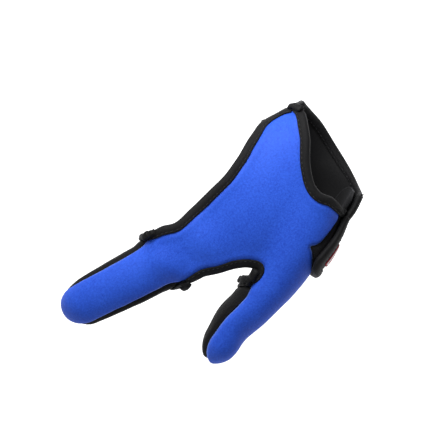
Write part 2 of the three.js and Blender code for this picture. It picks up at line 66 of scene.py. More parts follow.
THUMB_SPREAD = 52
THUMB_DROP = 14
END_ROUNDING = 10
ROOT_BLEND = 14

# Cloth and tape, in millimetres
NEOPRENE = 2.5
GRIP_FABRIC = 2
LOOP_FABRIC = 2.5
HOOK_FABRIC = 1.3
STRAP_FABRIC = 1.8
TAPE_WIDTH = 3.7
FOLD = 1.9
CLEARANCE = 0.4
STRAP_EASE = 0.3
STRAP_FLAT = 31
STRAP_RAMP = 24
STRAP_LIFT = LOOP_FABRIC + HOOK_FABRIC + 2 * CLEARANCE
HOOK_SIZE = (24, 20)
LABEL_SIZE = (13, 18)
LABEL_THICKNESS = 0.8
SEAM_GAP = 0.15

MM = 0.001
CELL = 1.0
LINE_STEP = 0.5
PATCH_CELL = 0.8

# Rows of at, side, widen, thin, lift
PALM_ROWS = (
    (-0.3, 0.01, -0.04, -0.08, 0), (-0.12, 0.01, -0.04, -0.04, 0), (0, 0.03, 0, 0, 0),
    (0.12, 0.02, 0.12, 0.08, 0), (0.31, 0.02, 0.6, 0.33, 0.01), (0.51, 0.1, 1, 0.5, 0.03),
    (0.71, 0.17, 1, 0.67, 0.04), (0.89, 0.2, 0.68, 0.83, 0.04), (1, 0.23, 0.44, 1, 0.04),
)
# Rows of at, side, width, depth, drop
INDEX_ROWS = (
    (-0.12, -0.12, 0.93, 1, 0), (0.08, 0.08, 1, 1, 0.05), (0.24, 0.24, 0.98, 0.98, 0.15),
    (0.42, 0.42, 0.96, 0.93, 0.3), (0.59, 0.6, 0.92, 0.88, 0.52), (0.75, 0.77, 0.86, 0.83, 0.78),
    (0.85, 0.84, 0.78, 0.77, 0.98),
)
THUMB_ROWS = (
    (0.12, 0.36, 0.95, 1.08, 0.07), (0.26, 0.55, 1.25, 1.25, 0.18), (0.4, 0.69, 1.15, 1.21, 0.21),
    (0.54, 0.8, 1, 1.02, 0.29), (0.68, 0.87, 0.91, 0.9, 0.46), (0.8, 0.91, 0.9, 0.89, 0.68),
    (0.9, 0.98, 0.72, 0.75, 0.9),
)

# Edges and seams as points on the form: limb, how far along it, turn round its middle line in
# degrees, and reach from it where that isn't 1.
EDGES = {
    "outer": (
        ("palm", -0.01, 28), ("palm", 0.05, 15), ("palm", 0.12, 12), ("palm", 0.2, 20),
        ("palm", 0.27, 34), ("palm", 0.35, 48), ("palm", 0.43, 61), ("palm", 0.54, 73),
        ("palm", 0.67, 81), ("palm", 0.82, 87), ("palm", 0.95, 92), ("index", 0.03, 38, 1.5),
        ("index", 0.075, 25, 1.2),
    ),
    "index_mouth": (
        ("index", 0.075, 25, 1.2), ("index", 0.12, 0), ("index", 0.16, -30), ("index", 0.19, -60),
        ("index", 0.21, -90), ("index", 0.22, -125), ("index", 0.21, -160), ("index", 0.16, 172),
        ("index", 0.09, 155),
    ),
    "web": (
        ("index", 0.09, 155), ("palm", 0.99, 150), ("palm", 0.9, 152), ("palm", 0.81, 155),
        ("palm", 0.752, 160), ("thumb", 0.555, 45, 1.4), ("thumb", 0.579, 45, 1.15),
        ("thumb", 0.61, 42),
    ),
    "thumb_mouth": (
        ("thumb", 0.61, 42), ("thumb", 0.635, 17), ("thumb", 0.65, -15), ("thumb", 0.655, -45),
        ("thumb", 0.655, -80), ("thumb", 0.635, -112), ("thumb", 0.58, -135),
        ("thumb", 0.52, -145),
    ),
    "wing_side": (("thumb", 0.52, -145), ("thumb", 0.45, -148), ("thumb", 0.365, -148)),
    "index_seam": (
        ("index", 0.075, 25, 1.2), ("index", 0.2, 28), ("index", 0.42, 30), ("index", 0.6, 28),
        ("index", 0.75, 20), ("index", 0.88, 2), ("index", 1, -80, 0.6),
        ("index", 0.97, 175, 0.8), ("index", 0.88, 162), ("index", 0.75, 154),
        ("index", 0.6, 152), ("index", 0.42, 150), ("index", 0.25, 150), ("index", 0.09, 155),
    ),
    "thumb_seam": (
        ("thumb", 0.61, 42), ("thumb", 0.66, 58), ("thumb", 0.73, 62), ("thumb", 0.8, 62),
        ("thumb", 0.87, 58), ("thumb", 0.94, 52), ("thumb", 1, 75, 0.5),
        ("thumb", 1, -135, 0.6), ("thumb", 0.92, -128), ("thumb", 0.84, -130),
        ("thumb", 0.74, -136), ("thumb", 0.62, -140), ("thumb", 0.52, -145),
    ),
    "wing": (
        ("thumb", 0.365, -148), ("thumb", 0.371, 180), ("thumb", 0.347, 148),
        ("thumb", 0.325, 128), ("thumb", 0.312, 114), ("thumb", 0.295, 122),
        ("thumb", 0.27, 130), ("thumb", 0.23, 138), ("thumb", 0.18, 151), ("thumb", 0.12, 156),
    ),
    "patch_wrist": (("palm", 0.02, 180), ("palm", 0.07, 172), ("thumb", 0.12, 156)),
    "patch": (
        ("thumb", 0.365, -148), ("thumb", 0.33, -125), ("thumb", 0.22, -120),
        ("palm", 0.1, -145), ("palm", 0.02, -155), ("palm", 0.02, 180),
    ),
    "wrist": (
        ("thumb", 0.12, 156), ("palm", 0.155, 140), ("palm", 0.185, 127), ("palm", 0.187, 115),
        ("palm", 0.165, 103), ("palm", 0.13, 92), ("palm", 0.09, 82), ("palm", 0.045, 71),
        ("palm", 0.01, 58), ("palm", -0.015, 45), ("palm", -0.02, 36), ("palm", -0.01, 28),
    ),
    "strap_wrist": (
        ("palm", -0.075, 20), ("palm", -0.06, 0), ("palm", -0.06, -30), ("palm", -0.07, -65),
        ("palm", -0.06, -100), ("palm", -0.04, -135), ("palm", 0.01, -165), ("palm", 0.04, 180),
    ),
    "strap_end": (
        ("palm", 0.04, 180), ("thumb", 0.12, 170), ("thumb", 0.2, 155), ("thumb", 0.28, 142),
        ("thumb", 0.33, 140), ("thumb", 0.362, 150), ("thumb", 0.38, -170),
    ),
    "strap_thumb": (
        ("thumb", 0.38, -170), ("thumb", 0.385, -145), ("thumb", 0.375, -115),
        ("palm", 0.41, -95), ("palm", 0.35, -68), ("palm", 0.28, -42), ("palm", 0.22, -22),
    ),
    "strap_sewn": (
        ("palm", 0.22, -22), ("palm", 0.185, 0), ("palm", 0.14, 8), ("palm", 0.09, 11),
        ("palm", 0.04, 14), ("palm", -0.02, 20), ("palm", -0.075, 20),
    ),
}


# The form
def palm_row(at, side, widen, thin, lift):
    width = WRIST_WIDTH + (PALM_WIDTH - WRIST_WIDTH) * widen
    depth = WRIST_DEPTH + (KNUCKLE_DEPTH - WRIST_DEPTH) * thin
    return at, side * PALM_WIDTH, lift * WRIST_DEPTH, width / 2, depth / 2


def index_row(at, side, width, depth, drop):
    return (at, INDEX_SIDE + side * INDEX_SWING, INDEX_LIFT - drop * INDEX_DROP,
            width * INDEX_WIDTH / 2, depth * INDEX_DEPTH / 2)


def thumb_row(at, side, width, depth, drop):
    return (at, -side * THUMB_SPREAD, -drop * THUMB_DROP,
            width * THUMB_WIDTH / 2, depth * THUMB_DEPTH / 2)


# Each limb: where it starts, its length, its sections at real size, and how far the slopes of
# its last section run on
LIMBS = {
    "palm": (0, PALM_LENGTH, np.array([palm_row(*row) for row in PALM_ROWS]), 0),
    "index": (PALM_LENGTH, INDEX_LENGTH, np.array([index_row(*row) for row in INDEX_ROWS]),
              END_ROUNDING / INDEX_LENGTH),
    "thumb": (0, THUMB_REACH, np.array([thumb_row(*row) for row in THUMB_ROWS]),
              END_ROUNDING / THUMB_REACH),
}


def sections(rows, along, run_on):
    """Smooth curves of values through the rows, read at each place along them."""
    at = np.clip(along, rows[0, 0], rows[-1, 0])
    past = np.clip(along - rows[-1, 0], 0, run_on)[..., None]
    low = np.clip(np.searchsorted(rows[:, 0], at) - 1, 0, len(rows) - 2)
    a, b = rows[low], rows[low + 1]
    before, after = rows[np.maximum(low - 1, 0)], rows[np.minimum(low + 2, len(rows) - 1)]
    span = b[..., :1] - a[..., :1]
    t = (at[..., None] - a[..., :1]) / span
    slope_a = (b - before) / (b[..., :1] - before[..., :1]) * span
    slope_b = (after - a) / (after[..., :1] - a[..., :1]) * span
    rise = b - a
    bend = slope_a + slope_b - 2 * rise
    lean = 3 * rise - 2 * slope_a - slope_b
    values = a + t * (slope_a + t * (lean + t * bend)) + past * slope_b / span
    return at, *np.moveaxis(values[..., 1:], -1, 0)


def limb_distance(name, x, y, z):
    start, length, rows, run_on = LIMBS[name]
    at, sy, sz, half_width, half_depth = sections(rows, (-x - start) / length, run_on)
    ex = (x + start + at * length) / END_ROUNDING
    ey = (y - sy) / half_width
    ez = (z - sz) / half_depth
    size = np.sqrt(ex * ex + ey * ey + ez * ez)
    slope = np.sqrt((ex / END_ROUNDING) ** 2 + (ey / half_width) ** 2 + (ez / half_depth) ** 2)
    return size * (size - 1) / np.maximum(slope, 1e-9)


def blend(a, b):
    overlap = np.maximum(ROOT_BLEND - np.abs(a - b), 0) / ROOT_BLEND
    return np.minimum(a, b) - overlap * overlap * ROOT_BLEND / 4


def form_distance(x, y, z):
    fingers = blend(limb_distance("palm", x, y, z), limb_distance("index", x, y, z))
    return blend(fingers, limb_distance("thumb", x, y, z))


def distance_at(p):
    return form_distance(p[:, 0], p[:, 1], p[:, 2])


def gradient_at(p):
    step = 0.05
    moves = np.eye(3) * step
    return np.stack([distance_at(p + m) - distance_at(p - m) for m in moves], 1) / (2 * step)


def unit(v):
    return v / np.maximum(np.linalg.norm(v, axis=-1, keepdims=True), 1e-12)


def normal_at(p):
    return unit(gradient_at(p))


def settle(p, rounds=3):
    """Moves points to the surface of the form."""
    for _ in range(rounds):
        g = gradient_at(p)
        p = p - g * (distance_at(p) / (g * g).sum(1))[:, None]
    return p


def form_net(cell):
    """The whole form as a net of even quads: its points, its edges and its quads."""
    low = np.array([-(PALM_LENGTH + INDEX_LENGTH) - 6, -THUMB_SPREAD - THUMB_WIDTH, -WRIST_DEPTH])
    high = np.array([PALM_LENGTH * 0.45, PALM_WIDTH * 0.8, WRIST_DEPTH])
    ax, ay, az = (np.arange(a, b, cell) for a, b in zip(low, high))
    d = form_distance(ax[:, None, None], ay[None, :, None], az[None, None, :])
    inside = d < 0
    corner = np.array([[c & 1, c >> 1 & 1, c >> 2] for c in range(8)])
    count = sum(
        inside[i:i + d.shape[0] - 1, j:j + d.shape[1] - 1, k:k + d.shape[2] - 1].astype(np.int8)
        for i, j, k in corner
    )
    cells = np.argwhere((count > 0) & (count < 8))
    values = np.stack([d[tuple((cells + c).T)] for c in corner], 1)
    total, crossings = np.zeros((len(cells), 3)), np.zeros(len(cells))
    for a in range(8):
        for b in (a | 1, a | 2, a | 4):
            if a == b:
                continue
            va, vb = values[:, a], values[:, b]
            cross = (va < 0) != (vb < 0)
            t = np.where(cross, va / np.where(cross, va - vb, 1), 0)[:, None]
            total += np.where(cross[:, None], corner[a] + t * (corner[b] - corner[a]), 0)
            crossings += cross
    points = low + (cells + total / crossings[:, None]) * cell
    number = np.full(np.array(d.shape) - 1, -1)
    number[tuple(cells.T)] = np.arange(len(cells))
    quads = []
    for axis in range(3):
        u, v = (axis + 1) % 3, (axis + 2) % 3
        first = np.take(inside, range(d.shape[axis] - 1), axis)
        flips = np.argwhere(first != np.take(inside, range(1, d.shape[axis]), axis))
        ring = []
        for du, dv in ((0, 0), (-1, 0), (-1, -1), (0, -1)):
            near = flips.copy()
            near[:, u] += du
            near[:, v] += dv
            ring.append(number[tuple(near.T)])
        ring = np.stack(ring, 1)
        starts_inside = inside[tuple(flips.T)]
        quads.append(np.where(starts_inside[:, None], ring, ring[:, ::-1]))
    quads = np.concatenate(quads)
    pairs = np.sort(np.concatenate([quads[:, [i, (i + 1) % 4]] for i in range(4)]), 1)
    pairs = np.unique(pairs, axis=0)
    return relax(settle(points), pairs), pairs, quads


def relax(points, pairs, rounds=5):
    """Evens out a net, keeping its points on the form."""
    a, b = np.concatenate([pairs, pairs[:, ::-1]]).T
    share = np.bincount(a, minlength=len(points))[:, None]
    for _ in range(rounds):
        middle = np.stack([np.bincount(a, points[b, k], len(points)) for k in range(3)], 1) / share
        points = settle((points + middle) / 2, 1)
    return points


# Lines on the form
def point_on_form(name, along, turn, reach=1):
    start, length, rows, run_on = LIMBS[name]
    _, y, z, half_width, half_depth = sections(rows, np.array(float(along)), run_on)
    angle = math.radians(turn)
    return (-(start + along * length), y + reach * half_width * math.cos(angle),
            z + reach * half_depth * math.sin(angle))


def spaced(points, step):
    along = np.concatenate([[0], np.cumsum(np.linalg.norm(np.diff(points, axis=0), axis=1))])
    at = np.linspace(0, along[-1], math.ceil(along[-1] / step) + 1)
    return np.stack([np.interp(at, along, points[:, k]) for k in range(3)], 1)


def curve_through(knots, steps=40):
    """A centripetal Catmull-Rom curve through the knots."""
    ends = (2 * knots[:1] - knots[1:2], 2 * knots[-1:] - knots[-2:-1])
    q = np.concatenate([ends[0], knots, ends[1]])
    gap = np.linalg.norm(np.diff(q, axis=0), axis=1) ** 0.5
    t = np.linspace(0, 1, steps, endpoint=False)[:, None]
    pieces = []
    for i in range(1, len(q) - 2):
        g0, g1, g2 = gap[i - 1], gap[i], gap[i + 1]
        p0, p1, p2, p3 = q[i - 1:i + 3]
        m1 = g1 * ((p1 - p0) / g0 - (p2 - p0) / (g0 + g1) + (p2 - p1) / g1)
        m2 = g1 * ((p2 - p1) / g1 - (p3 - p1) / (g1 + g2) + (p3 - p2) / g2)
        bend, lean = 2 * p1 - 2 * p2 + m1 + m2, -3 * p1 + 3 * p2 - 2 * m1 - m2
        pieces.append(p1 + t * (m1 + t * (lean + t * bend)))
    return np.concatenate(pieces + [q[-2:-1]])


def line_on_form(edge):
    knots = settle(np.array([point_on_form(*row) for row in edge]), 5)
    return settle(spaced(curve_through(knots), LINE_STEP))


def joined(*lines):
    return np.concatenate([line if i == 0 else line[1:] for i, line in enumerate(lines)])


def tangents(line):
    ahead = np.concatenate([line[2:], line[-1:], line[-1:]])
    behind = np.concatenate([line[:1], line[:1], line[:-2]])
    return unit(ahead - behind)


def trimmed(line, start, end):
    along = np.concatenate([[0], np.cumsum(np.linalg.norm(np.diff(line, axis=0), axis=1))])
    return line[(along >= start) & (along <= along[-1] - end)]


def tree_of(points):
    tree = KDTree(len(points))
    for i, p in enumerate(points):
        tree.insert(p, i)
    tree.balance()
    return tree


def distance_to(points, *lines):
    tree = tree_of(np.concatenate(lines))
    return np.array([tree.find(p)[2] for p in points])


LINES = {name: line_on_form(edge) for name, edge in EDGES.items()}
NET, PAIRS, QUADS = form_net(CELL)


# Sheets of cloth cut from the net
def depths(loop):
    """How deep each point of the net lies inside a closed line, and the line's nearest point."""
    legs = np.roll(loop, -1, 0) - loop
    length = np.linalg.norm(legs, axis=1)
    along = legs / length[:, None]
    tree = tree_of(loop)
    nearest = np.array([tree.find(p)[1] for p in NET])
    back = (nearest - 1) % len(loop)
    best, foot, ahead = np.full(len(NET), np.inf), np.zeros_like(NET), np.zeros_like(NET)
    for leg, corner, other in ((nearest, 0, back), (back, 1, nearest)):
        t = ((NET - loop[leg]) * along[leg]).sum(1) / length[leg]
        t = np.clip(t, 0, 1)
        f = loop[leg] + legs[leg] * t[:, None]
        d = np.linalg.norm(NET - f, axis=1)
        closer = d < best
        direction = along[leg] + np.where((t == corner)[:, None], along[other], 0)
        best = np.where(closer, d, best)
        foot = np.where(closer[:, None], f, foot)
        ahead = np.where(closer[:, None], direction, ahead)
    left = (np.cross(normal_at(foot), ahead) * (NET - foot)).sum(1) > 0
    near = 2.2 * CELL
    sealed = ~left & (best < near)
    inside = left & (best < near)
    a, b = np.concatenate([PAIRS, PAIRS[:, ::-1]]).T
    while True:
        grow = b[inside[a] & ~inside[b] & ~sealed[b]]
        if not len(grow):
            break
        inside[grow] = True
    return np.where(inside, best, -best), foot


def cut_sheet(*lines):
    """The points and faces of the net inside a closed line, cut cleanly along it."""
    loop = joined(*lines)[:-1]
    depth, foot = depths(loop)
    points = NET.copy()
    depth = depth - SEAM_GAP / 2
    snap = np.abs(depth) < 0.3 * CELL
    inward = unit(points - foot) * np.sign(depth + SEAM_GAP / 2)[:, None]
    points[snap] = settle(points[snap] - inward[snap] * depth[snap, None], 2)
    depth = np.where(snap, 0, depth)
    kept = QUADS[(depth[QUADS] > 0).any(1)]
    a, b, c, d = (points[kept[:, i]] for i in range(4))
    short = np.linalg.norm(a - c, axis=1) <= np.linalg.norm(b - d, axis=1)
    halves = np.where(short[:, None], kept[:, [0, 1, 2, 0, 2, 3]], kept[:, [0, 1, 3, 1, 2, 3]])
    faces = halves.reshape(-1, 3)
    faces = faces[(depth[faces] > 0).any(1)]
    whole = (depth[faces] >= 0).all(1)
    extra, cuts, rest = [], {}, []

    def cut(i, j):
        key = (min(i, j), max(i, j))
        if key not in cuts:
            cuts[key] = len(points) + len(extra)
            extra.append(points[i] + (points[j] - points[i]) * depth[i] / (depth[i] - depth[j]))
        return cuts[key]

    for face in faces[~whole].tolist():
        ring = []
        for i, j in zip(face, face[1:] + face[:1]):
            if depth[i] >= 0:
                ring.append(i)
            if depth[i] * depth[j] < 0:
                ring.append(cut(i, j))
        rest += [(ring[0], ring[n - 1], ring[n]) for n in range(2, len(ring))]
    if extra:
        points = np.concatenate([points, settle(np.array(extra), 2)])
    faces = np.concatenate([faces[whole], np.array(rest, int).reshape(-1, 3)])
    used, faces = np.unique(faces, return_inverse=True)
    return points[used], faces.reshape(-1, 3)


def rim_edges(faces):
    edges = np.concatenate([faces[:, [0, 1]], faces[:, [1, 2]], faces[:, [2, 0]]])
    key = edges[:, 0] * (edges.max() + 1) + edges[:, 1]
    twin = edges[:, 1] * (edges.max() + 1) + edges[:, 0]
    return edges[~np.isin(twin, key)]


def thicken(points, faces, low, high):
    """A closed cloth between two levels above the form. Its outer face comes first."""
    n = len(points)
    normal = normal_at(points)
    outer = points + normal * np.reshape(high, (-1, 1))
    inner = points + normal * np.reshape(low, (-1, 1))
    a, b = rim_edges(faces).T
    sides = np.concatenate([np.stack([b, a, a + n], 1), np.stack([b, a + n, b + n], 1)])
    return (np.concatenate([outer, inner]),
            np.concatenate([faces, sides, faces[:, ::-1] + n]), len(faces) + len(sides))


def ripple(p, scale, seed):
    """Smooth noise from -1 to 1 over points, with features about scale millimetres wide."""
    rng = np.random.default_rng(seed)
    waves = unit(rng.normal(size=(12, 3))) * rng.uniform(0.6, 1.4, (12, 1)) * math.pi / scale
    shift = rng.uniform(0, 2 * math.pi, 12)
    return np.sin(p @ waves.T + shift).mean(1) * 2.2


def mesh_object(name, points, faces, materials, inner_from=None, cloth=None, edge=None):
    mesh = bpy.data.meshes.new(name)
    mesh.from_pydata((points * MM).tolist(), [], faces.tolist())
    for material in materials:
        mesh.materials.append(material)
    mesh.polygons.foreach_set("use_smooth", [True] * len(faces))
    if inner_from is not None and len(materials) > 1:
        index = np.zeros(len(faces), int)
        index[inner_from:] = 1
        mesh.polygons.foreach_set("material_index", index)
    if cloth is not None:
        layer = mesh.attributes.new("cloth", "FLOAT_VECTOR", "POINT")
        layer.data.foreach_set("vector", np.asarray(cloth, np.float32).ravel())
    if edge is not None:
        layer = mesh.attributes.new("edge", "FLOAT", "POINT")
        layer.data.foreach_set("value", np.asarray(edge, np.float32))
    mesh.update()
    piece = bpy.data.objects.new(name, mesh)
    bpy.context.scene.collection.objects.link(piece)
    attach(piece, "root")
    return piece


# Materials
def node(tree, kind, inputs=(), **settings):
    made = tree.nodes.new(kind)
    for key, value in settings.items():
        setattr(made, key, value)
    for key, value in dict(inputs).items():
        if isinstance(value, bpy.types.NodeSocket):
            tree.links.new(value, made.inputs[key])
        else:
            made.inputs[key].default_value = value
    return made


def level(tree, value, low, high, out_low=0.0, out_high=1.0):
    inputs = {"Value": value, "From Min": low, "From Max": high,
              "To Min": out_low, "To Max": out_high}
    return node(tree, "ShaderNodeMapRange", inputs).outputs[0]


def mixed(tree, factor, a, b, blend_type="MIX"):
    made = node(tree, "ShaderNodeMix", data_type="RGBA", blend_type=blend_type)
    for socket, value in ((made.inputs[0], factor), (made.inputs[6], a), (made.inputs[7], b)):
        if isinstance(value, bpy.types.NodeSocket):
            tree.links.new(value, socket)
        else:
            socket.default_value = value
    return made.outputs[2]


def math_node(tree, operation, a, b):
    made = node(tree, "ShaderNodeMath", operation=operation)
    for socket, value in zip(made.inputs, (a, b)):
        if isinstance(value, bpy.types.NodeSocket):
            tree.links.new(value, socket)
        else:
            socket.default_value = value
    return made.outputs[0]


def rgb(r, g, b):
    return (r, g, b, 1)


def cloth_material(name, dark, light, grain, bump, roughness, sheen=None, pattern=None):
    """A cloth whose colour mottles between two tones and whose bump is a fine grain."""
    material = bpy.data.materials.new(name)
    material.use_nodes = True
    tree = material.node_tree
    shader = tree.nodes["Principled BSDF"]
    place = node(tree, "ShaderNodeTexCoord").outputs["Object"]
    cells = node(tree, "ShaderNodeTexVoronoi", {"Vector": place, "Scale": 1 / (grain * MM)})
    speckle = node(tree, "ShaderNodeTexNoise",
                   {"Vector": place, "Scale": 0.45 / (grain * MM), "Detail": 3.0,
                    "Roughness": 0.7})
    cloud = node(tree, "ShaderNodeTexNoise", {"Vector": place, "Scale": 60.0, "Detail": 2.0})
    tone = math_node(tree, "MULTIPLY", level(tree, speckle.outputs[0], 0.25, 0.75), 0.85)
    tone = math_node(tree, "ADD", tone, level(tree, cloud.outputs[0], 0.3, 0.7, 0.0, 0.15))
    colour = mixed(tree, tone, rgb(*dark), rgb(*light))
    height = math_node(tree, "ADD", cells.outputs["Distance"],
                       math_node(tree, "MULTIPLY", speckle.outputs[0], 0.6))
    if pattern:
        colour, height = pattern(tree, colour, height)
    tree.links.new(colour, shader.inputs["Base Color"])
    rough = level(tree, speckle.outputs[0], 0.3, 0.7, roughness - 0.06, roughness + 0.06)
    tree.links.new(rough, shader.inputs["Roughness"])
    shader.inputs["Specular IOR Level"].default_value = 0.22
    if sheen:
        shader.inputs["Sheen Weight"].default_value = sheen[0]
        shader.inputs["Sheen Roughness"].default_value = sheen[1]
        shader.inputs["Sheen Tint"].default_value = rgb(*sheen[2])
    relief = node(tree, "ShaderNodeBump",
                  {"Height": height, "Strength": 0.6, "Distance": bump * MM})
    tree.links.new(relief.outputs[0], shader.inputs["Normal"])
    return material


def ribs_with_groove_shade(pitch, depth):
    """Ribs across a tape, from its cloth attribute: along it in X, across it in Y, with painted
    shade darkening the grooves.
    """
    def pattern(tree, colour, height):
        place = node(tree, "ShaderNodeAttribute", attribute_name="cloth").outputs["Vector"]
        ribs = node(tree, "ShaderNodeTexWave", {
            "Vector": place, "Scale": 1 / (pitch * 2), "Distortion": 0.6, "Detail": 1.0,
            "Detail Scale": 2.0,
        }, wave_type="BANDS", bands_direction="X")
        strength = math_node(tree, "MULTIPLY", ribs.outputs["Fac"], depth)
        # Painted shade: the colour darkens to 0.72 in the grooves between the ribs.
        tone = mixed(tree, ribs.outputs["Fac"], rgb(0.72, 0.72, 0.72), rgb(1, 1, 1))
        return mixed(tree, 1.0, colour, tone, "MULTIPLY"), math_node(tree, "ADD", height, strength)
    return pattern


def rim_highlight_pattern(width, tone):
    """A painted highlight: paler colour along the rolled rim within a short way of a seam, from
    the edge attribute.
    """
    def pattern(tree, colour, height):
        edge = node(tree, "ShaderNodeAttribute", attribute_name="edge").outputs["Fac"]
        near = level(tree, edge, width * 0.5, width * 2.2, 0.35, 0.0)
        return mixed(tree, near, colour, rgb(*tone)), height
    return pattern


def line_pattern(inset, width, tone):
    """A woven line of another colour that runs round a label, a short way in from its edge."""
    def pattern(tree, colour, height):
        edge = node(tree, "ShaderNodeAttribute", attribute_name="edge").outputs["Fac"]
        inside = math_node(tree, "MULTIPLY", level(tree, edge, inset, inset + 0.15),
                           level(tree, edge, inset + width, inset + width + 0.15, 1.0, 0.0))
        return mixed(tree, inside, colour, rgb(*tone)), height
    return pattern


MATERIALS = {
    # The neoprene's pale rim beside its seams is a painted highlight.
    "neoprene": cloth_material(
        "blue_knit_neoprene", (0.010, 0.055, 0.48), (0.032, 0.128, 0.76), 0.5, 0.14, 0.62,
        (0.1, 0.4, (0.4, 0.65, 1.0)), rim_highlight_pattern(0.5, (0.3, 0.45, 0.9))),
    "lining": cloth_material(
        "black_knit_lining", (0.005, 0.005, 0.0055), (0.012, 0.012, 0.013), 0.6, 0.1, 0.75,
        (0.1, 0.5, (0.6, 0.6, 0.65))),
    "grip": cloth_material(
        "black_pebbled_grip", (0.0015, 0.0015, 0.002), (0.006, 0.006, 0.0065), 1.1, 0.4, 0.75),
    "binding": cloth_material(
        "black_ribbed_binding", (0.0015, 0.0015, 0.002), (0.006, 0.006, 0.007), 0.4, 0.14, 0.65,
        (0.07, 0.35, (0.7, 0.7, 0.75)), ribs_with_groove_shade(0.5, 0.5)),
    "strap": cloth_material(
        "black_knit_strap", (0.004, 0.004, 0.0045), (0.010, 0.010, 0.011), 0.6, 0.12, 0.7,
        (0.12, 0.5, (0.7, 0.7, 0.75))),
    "loop": cloth_material(
        "brushed_loop_pile", (0.0015, 0.0015, 0.002), (0.007, 0.007, 0.008), 0.35, 0.5, 0.9,
        (0.15, 0.6, (0.6, 0.6, 0.65))),
    "hook": cloth_material(
        "moulded_hooks", (0.004, 0.004, 0.004), (0.009, 0.009, 0.009), 0.7, 0.25, 0.45),
    "label": cloth_material(
        "woven_red_label", (0.36, 0.02, 0.03), (0.52, 0.045, 0.06), 0.3, 0.08, 0.6,
        (0.2, 0.4, (1.0, 0.8, 0.8)), line_pattern(0.5, 1.4, (0.85, 0.85, 0.85))),
    "thread": cloth_material(
        "black_thread", (0.010, 0.010, 0.011), (0.03, 0.03, 0.033), 0.15, 0.05, 0.5),
}


# Cloth pieces
# Where cloth swells beside a tape, how far past the tape's edge and how wide
SWELL_PLACE = TAPE_WIDTH + 2.2
SWELL_WIDTH = 2.0


def swell_at(to_edge):
    return np.exp(-((to_edge - SWELL_PLACE) / SWELL_WIDTH) ** 2)


def pinch(distance, width, least):
    """A share that falls smoothly to its least at a seam or under a tape."""
    t = np.clip(distance / width, 0, 1)
    return least + (1 - least) * t * t * (3 - 2 * t)


# Where the cloth is drawn straight over the step from knuckle to finger: the step's place in X,
# its reach on either side, how much lower and higher the cloth lies there, and the way from an
# edge over which it settles back
STEP_PLACE = -106.5
STEP_REACH = 7
STEP_DRAW = 1.7
STEP_SETTLE = 9


def drawn_over(points, to_edge):
    past = (STEP_PLACE - points[:, 0]) / STEP_REACH
    clear = 1 - np.exp(-(to_edge / STEP_SETTLE) ** 2)
    return STEP_DRAW * past * np.exp((1 - past ** 2) / 2) * clear


def panel(name, lines, thickness, materials, seams, bound, waves, seed, drawn=0):
    points, faces = cut_sheet(*lines)
    to_seam = distance_to(points, *seams)
    to_bound = distance_to(points, *bound)
    high = thickness * pinch(to_seam, 2.6, 0.35) * pinch(to_bound, TAPE_WIDTH + 1.8, 0.8)
    high += 0.35 * swell_at(to_bound)
    pucker = np.exp(-np.minimum(to_seam, to_bound) / 5)
    high += waves * (ripple(points, 16, seed) * 0.6 + ripple(points, 5.5, seed + 1) * pucker)
    low = 0.3 * (1 - pinch(to_seam, 3, 0.35))
    settled = drawn * drawn_over(points, np.minimum(to_seam, to_bound))
    high, low = high + settled, low + settled
    mesh, all_faces, inner = thicken(points, faces, low, high)
    # The edge attribute is the distance to a seam; the neoprene's shader paints its rim highlight
    # from it.
    piece = mesh_object(name, mesh, all_faces, materials, inner, edge=np.tile(to_seam, 2))
    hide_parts(name)
    return piece


BACK_LINES = [LINES[n] for n in
              ("outer", "index_seam", "web", "thumb_seam", "wing_side", "wing", "wrist")]
panel(
    "back_panel", BACK_LINES, NEOPRENE, [MATERIALS["neoprene"], MATERIALS["lining"]],
    [LINES["index_seam"], LINES["thumb_seam"], LINES["wing"]],
    [LINES["outer"], LINES["web"], LINES["wrist"], LINES["wing_side"]], 0.16, 3, 1)
panel(
    "index_palm_panel", [LINES["index_mouth"], LINES["index_seam"][::-1]], GRIP_FABRIC,
    [MATERIALS["grip"], MATERIALS["lining"]], [LINES["index_seam"]],
    [LINES["index_mouth"]], 0.2, 11)
panel(
    "thumb_palm_panel", [LINES["thumb_mouth"], LINES["thumb_seam"][::-1]], GRIP_FABRIC,
    [MATERIALS["grip"], MATERIALS["lining"]], [LINES["thumb_seam"]],
    [LINES["thumb_mouth"]], 0.3, 17)
panel(
    "loop_patch", [LINES["wing"][::-1], LINES["patch"], LINES["patch_wrist"]],
    LOOP_FABRIC - CLEARANCE,
    [MATERIALS["loop"], MATERIALS["lining"]], [LINES["wing"]],
    [LINES["patch"]], 0.15, 23)


def strap_level(points):
    past = np.clip((distance_to(points, LINES["strap_end"]) - STRAP_FLAT) / STRAP_RAMP, 0, 1)
    share = past * past * (3 - 2 * past)
    return STRAP_LIFT + (STRAP_EASE - STRAP_LIFT) * share


def wrist_strap():
    bound = [LINES[n] for n in ("strap_wrist", "strap_end", "strap_thumb")]
    points, faces = cut_sheet(*bound, LINES["strap_sewn"])
    low = strap_level(points)
    edge = distance_to(points, *bound)
    swell = 0.3 * swell_at(edge) + 0.15 * ripple(points, 11, 31)
    high = low + STRAP_FABRIC * pinch(edge, TAPE_WIDTH + 1.5, 0.85) + swell
    mesh, all_faces, inner = thicken(points, faces, low, high)
    piece = mesh_object("wrist_strap", mesh, all_faces, [MATERIALS["strap"], MATERIALS["lining"]],
                        inner, edge=np.tile(edge, 2))
    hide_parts("wrist_strap")
    return piece


wrist_strap()

# Bindings. The rows go round the outside of a folded tape and back along its inside: how far
# in from the edge, and how far above the cloth's face.
OVER_ROWS = (
    (3.8, 0.08), (3.78, 0.5), (3.5, 0.82), (3.1, 0.95), (2.6, 1.0), (2.0, 1.12), (1.2, 1.2),
    (0.3, 1.18), (-0.6, 1.0), (-1.25, 0.65), (-1.7, 0.1),
)
INSIDE_ROWS = ((-0.9, 0.0), (-0.5, 0.25), (1.5, 0.2), (3.5, 0.03))
